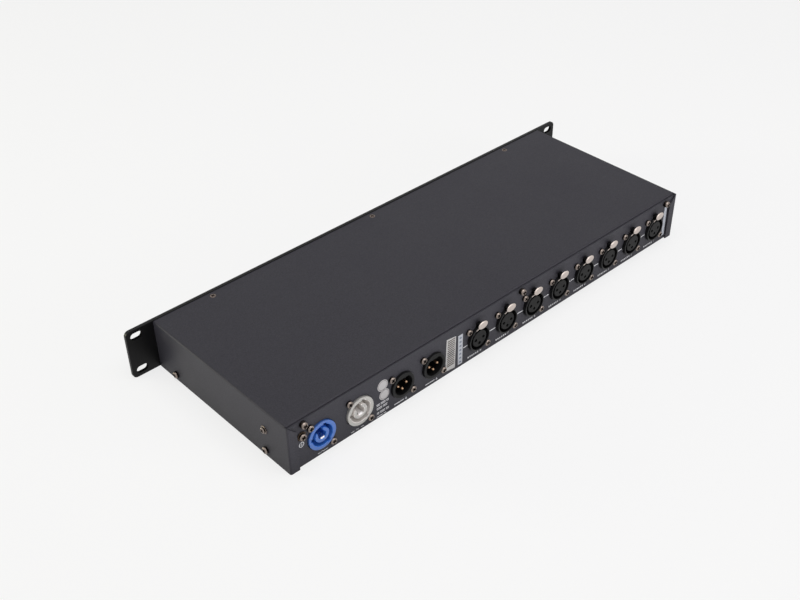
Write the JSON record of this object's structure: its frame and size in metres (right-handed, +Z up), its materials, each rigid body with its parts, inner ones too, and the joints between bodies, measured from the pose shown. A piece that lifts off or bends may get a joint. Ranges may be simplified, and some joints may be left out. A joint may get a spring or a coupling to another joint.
{
  "type": "lighting signal splitter",
  "caption": "One-unit rack case that copies a lighting control signal, with power inlet and outlet, input sockets and latching output sockets on its rear wall.",
  "frame": {"origin": "middle of the bounding box at its bottom, on the surface that the unit stands on", "axes": "+X along the width, towards the power connectors; +Y out of the rear wall with the connectors; +Z up"},
  "size_m": [0.4826, 0.173, 0.044],
  "materials": {
    "powder_black": "fine textured powder coat",
    "panel_black": "fine textured powder coat",
    "screw_metal": "nickel plated",
    "socket_black": "moulded",
    "latch_metal": "satin",
    "gold_plate": "gold plated",
    "inlet_blue": "moulded",
    "outlet_grey": "moulded",
    "contact_silver": "silver plated",
    "board_green": "solder resist",
    "button_dark": "moulded",
    "wire_brown": "insulation",
    "wire_blue": "insulation",
    "wire_green": "insulation",
    "wire_red": "insulation",
    "ribbon_grey": "insulation"
  },
  "bodies": {
    "chassis": {"top_cover": "powder_black", "base_tray": "powder_black", "front_panel": "panel_black", "output_socket_8": "socket_black", "output_socket_7": "socket_black", "output_socket_6": "socket_black", "output_socket_5": "socket_black", "output_socket_4": "socket_black", "output_socket_3": "socket_black", "output_socket_2": "socket_black", "output_socket_1": "socket_black", "input_socket_a": "socket_black", "input_pin_a1": "gold_plate", "input_pin_a2": "gold_plate", "input_pin_a3": "gold_plate", "input_socket_b": "socket_black", "input_pin_b1": "gold_plate", "input_pin_b2": "gold_plate", "input_pin_b3": "gold_plate", "power_inlet": "inlet_blue", "power_inlet_contact": "contact_silver", "power_outlet": "outlet_grey", "power_outlet_contact": "contact_silver", "main_board": "board_green", "power_supply": "board_green", "indicator_board": "board_green", "line_link_wire": "wire_brown", "neutral_link_wire": "wire_blue", "earth_link_wire": "wire_green", "line_feed_wire": "wire_brown", "neutral_feed_wire": "wire_blue", "earth_wire": "wire_green", "low_voltage_lead": "wire_red", "ribbon_lead": "ribbon_grey", "earth_screw": "screw_metal", "rear_screw_1": "screw_metal", "top_screw_1": "screw_metal", "side_screw_left_1": "screw_metal", "side_screw_right_1": "screw_metal", "rear_screw_2": "screw_metal", "top_screw_2": "screw_metal", "side_screw_left_2": "screw_metal", "side_screw_right_2": "screw_metal", "rear_screw_3": "screw_metal", "top_screw_3": "screw_metal", "side_screw_left_3": "screw_metal", "side_screw_right_3": "screw_metal", "front_screw_left": "screw_metal", "front_screw_right": "screw_metal"},
    "latch_1": {"output_latch_1": "latch_metal"},
    "latch_2": {"output_latch_2": "latch_metal"},
    "latch_3": {"output_latch_3": "latch_metal"},
    "latch_4": {"output_latch_4": "latch_metal"},
    "latch_5": {"output_latch_5": "latch_metal"},
    "latch_6": {"output_latch_6": "latch_metal"},
    "latch_7": {"output_latch_7": "latch_metal"},
    "latch_8": {"output_latch_8": "latch_metal"},
    "button_1": {"select_button_1": "button_dark"},
    "button_2": {"select_button_2": "button_dark"}
  },
  "joints": [
    {"name": "latch_1_press", "type": "hinge", "parent": "chassis", "child": "latch_1", "pos_m": [-0.1896, 0.0762, 0.0316], "axis": [-1, 0, 0], "range_deg": [0, 9], "stiffness_Nm_per_rad": 0.2},
    {"name": "latch_2_press", "type": "hinge", "parent": "chassis", "child": "latch_2", "pos_m": [-0.158, 0.0762, 0.0316], "axis": [-1, 0, 0], "range_deg": [0, 9], "stiffness_Nm_per_rad": 0.2},
    {"name": "latch_3_press", "type": "hinge", "parent": "chassis", "child": "latch_3", "pos_m": [-0.1264, 0.0762, 0.0316], "axis": [-1, 0, 0], "range_deg": [0, 9], "stiffness_Nm_per_rad": 0.2},
    {"name": "latch_4_press", "type": "hinge", "parent": "chassis", "child": "latch_4", "pos_m": [-0.0948, 0.0762, 0.0316], "axis": [-1, 0, 0], "range_deg": [0, 9], "stiffness_Nm_per_rad": 0.2},
    {"name": "latch_5_press", "type": "hinge", "parent": "chassis", "child": "latch_5", "pos_m": [-0.0632, 0.0762, 0.0316], "axis": [-1, 0, 0], "range_deg": [0, 9], "stiffness_Nm_per_rad": 0.2},
    {"name": "latch_6_press", "type": "hinge", "parent": "chassis", "child": "latch_6", "pos_m": [-0.0316, 0.0762, 0.0316], "axis": [-1, 0, 0], "range_deg": [0, 9], "stiffness_Nm_per_rad": 0.2},
    {"name": "latch_7_press", "type": "hinge", "parent": "chassis", "child": "latch_7", "pos_m": [0, 0.0762, 0.0316], "axis": [-1, 0, 0], "range_deg": [0, 9], "stiffness_Nm_per_rad": 0.2},
    {"name": "latch_8_press", "type": "hinge", "parent": "chassis", "child": "latch_8", "pos_m": [0.0316, 0.0762, 0.0316], "axis": [-1, 0, 0], "range_deg": [0, 9], "stiffness_Nm_per_rad": 0.2},
    {"name": "button_1_press", "type": "slide", "parent": "chassis", "child": "button_1", "axis": [0, 1, 0], "range_m": [0, 0.0015], "stiffness_N_per_m": 600},
    {"name": "button_2_press", "type": "slide", "parent": "chassis", "child": "button_2", "axis": [0, 1, 0], "range_m": [0, 0.0015], "stiffness_N_per_m": 600}
  ]
}
